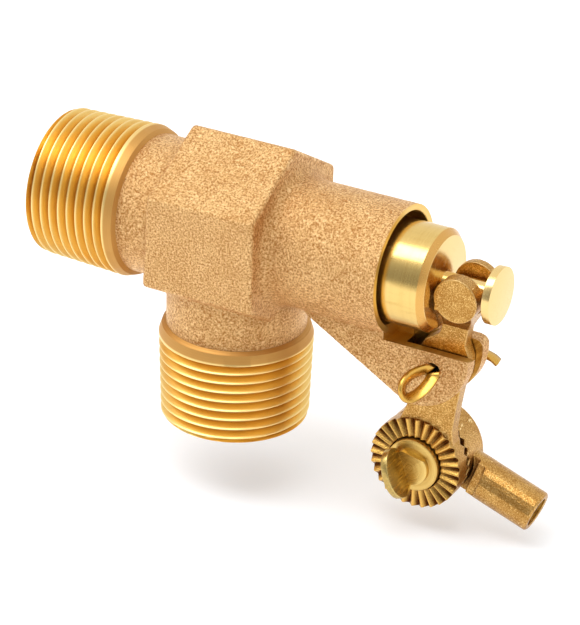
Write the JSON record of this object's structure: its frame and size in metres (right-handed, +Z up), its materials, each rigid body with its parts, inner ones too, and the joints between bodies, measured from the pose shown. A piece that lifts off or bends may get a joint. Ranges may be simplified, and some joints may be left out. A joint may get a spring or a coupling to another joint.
{
  "type": "float valve",
  "caption": "Cast tee float valve: threaded inlet and outlet, sliding plunger, forked lever on a split pin and a clamped float arm socket.",
  "frame": {"origin": "centre of the inlet's end face, on the inlet thread's axis", "axes": "+X from the inlet along the plunger to its button, +Z up (the outlet points down), -Y towards the side with the split pin's eye and the thumb screw"},
  "size_m": [0.1137, 0.0354, 0.076],
  "materials": {
    "cast_bronze": "sand cast, matte, fine grain",
    "turned_brass": "turned and polished",
    "tumbled_bronze": "tumbled casting, satin",
    "screw_brass": "as turned",
    "pin_brass": "drawn wire, shiny",
    "rubber": "matte"
  },
  "bodies": {
    "body": {"valve_body": "cast_bronze", "seat_ring": "turned_brass", "cotter_pin": "pin_brass"},
    "plunger": {"plunger": "turned_brass", "piston_o_ring": "rubber", "seat_disc": "rubber", "disc_washer": "turned_brass", "disc_screw": "turned_brass"},
    "lever": {"lever": "tumbled_bronze"},
    "arm_socket": {"float_arm_socket": "tumbled_bronze"},
    "thumb_screw": {"thumb_screw": "screw_brass"}
  },
  "joints": [
    {"name": "lever_pivot", "type": "hinge", "parent": "body", "child": "lever", "pos_m": [0.0919, 0, -0.0185], "axis": [0, 1, 0], "range_deg": [-20, 0]},
    {"name": "plunger_slide", "type": "slide", "parent": "body", "child": "plunger", "axis": [1, 0, 0], "range_m": [-0.0064, 0]},
    {"name": "float_arm_swivel", "type": "hinge", "parent": "lever", "child": "arm_socket", "pos_m": [0.08755, 0, -0.04285], "axis": [0, 1, 0], "range_deg": [-60, 150]},
    {"name": "thumb_screw_turn", "type": "hinge", "parent": "arm_socket", "child": "thumb_screw", "pos_m": [0.08755, 0, -0.04285], "axis": [0, -1, 0], "range_deg": [0, 540]}
  ],
  "couplings": [
    {"joint": "plunger_slide", "follows": "lever_pivot", "m_per_rad": 0.0182}
  ]
}
